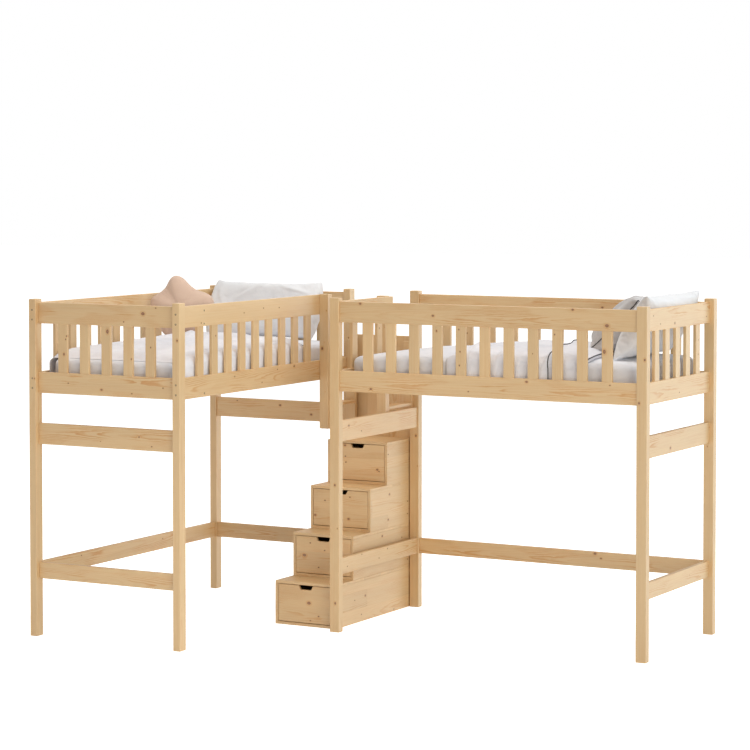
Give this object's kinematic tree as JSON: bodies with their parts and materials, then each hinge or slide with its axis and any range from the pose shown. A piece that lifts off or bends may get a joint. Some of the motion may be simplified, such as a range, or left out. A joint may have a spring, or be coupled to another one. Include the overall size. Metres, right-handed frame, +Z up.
{
  "type": "loft bed",
  "caption": "Pine loft beds set in an L with slatted guards, roll-up slat bases, bedding and a staircase of stacked pull-out drawer modules.",
  "frame": {"origin": "on the floor under the middle of the whole set's outline", "axes": "+X along the right-hand bed, to the right seen from the front; +Y towards the wall; +Z up"},
  "size_m": [3.656, 2.112, 2.1327],
  "materials": {
    "pine": "knotty pine under a clear matt lacquer",
    "pine_board": "glued pine board under a clear matt lacquer",
    "pine_plain": "planed pine with no lacquer",
    "fitted_sheet": "smooth white cotton",
    "duvet_cotton": "soft white cotton",
    "pillow_cotton": "soft white cotton",
    "pillow_grey": "crumpled pale grey cotton",
    "star_fabric": "short-napped dusty pink",
    "piping": "thin black cord sewn into the bedding's edges",
    "bolt_steel": "dark bronze bolt heads sunk in the posts"
  },
  "bodies": {
    "bed_frame": {"left_post_start_near": "pine", "left_post_start_far": "pine", "left_post_finish_near": "pine", "left_post_finish_far": "pine", "left_low_rail_start": "pine", "left_low_rail_finish": "pine", "left_low_rail_far": "pine", "left_mid_rail_start": "pine", "left_mid_rail_finish": "pine", "left_guard_near": "pine", "left_guard_far": "pine", "left_guard_start": "pine", "left_guard_finish": "pine", "left_slat_base": "pine_plain", "left_entry_post": "pine", "left_entry_cheek": "pine", "left_entry_step": "pine", "right_post_start_near": "pine", "right_post_start_far": "pine", "right_post_finish_near": "pine", "right_post_finish_far": "pine", "right_low_rail_start": "pine", "right_low_rail_finish": "pine", "right_low_rail_far": "pine", "right_mid_rail_start": "pine", "right_mid_rail_finish": "pine", "right_guard_near": "pine", "right_guard_far": "pine", "right_guard_start": "pine", "right_guard_finish": "pine", "right_slat_base": "pine_plain", "right_entry_post": "pine", "right_entry_cheek": "pine", "right_entry_step": "pine", "stair_carcass_1": "pine_board", "stair_carcass_2": "pine_board", "stair_carcass_3": "pine_board", "stair_carcass_4": "pine_board", "stair_tread_1": "pine_board", "stair_tread_2": "pine_board", "stair_tread_3": "pine_board", "stair_tread_4": "pine_board", "stair_back_panel": "pine_board", "left_mattress": "fitted_sheet", "left_duvet": "duvet_cotton", "left_pillow": "pillow_cotton", "star_cushion": "star_fabric", "right_mattress": "fitted_sheet", "right_duvet": "duvet_cotton", "right_pillow_back": "pillow_cotton", "right_pillow_front": "pillow_grey"},
    "drawer_1": {"drawer_front_1": "pine_board", "drawer_box_1": "pine_plain"},
    "drawer_2": {"drawer_front_2": "pine_board", "drawer_box_2": "pine_plain"},
    "drawer_3": {"drawer_front_3": "pine_board", "drawer_box_3": "pine_plain"},
    "drawer_4": {"drawer_front_4": "pine_board", "drawer_box_4": "pine_plain"}
  },
  "joints": [
    {"name": "drawer_1_slide", "type": "slide", "parent": "bed_frame", "child": "drawer_1", "axis": [0, -1, 0], "range_m": [0, 0.66]},
    {"name": "drawer_2_slide", "type": "slide", "parent": "bed_frame", "child": "drawer_2", "axis": [0, -1, 0], "range_m": [0, 0.5]},
    {"name": "drawer_3_slide", "type": "slide", "parent": "bed_frame", "child": "drawer_3", "axis": [0, -1, 0], "range_m": [0, 0.35]},
    {"name": "drawer_4_slide", "type": "slide", "parent": "bed_frame", "child": "drawer_4", "axis": [0, -1, 0], "range_m": [0, 0.19]}
  ]
}
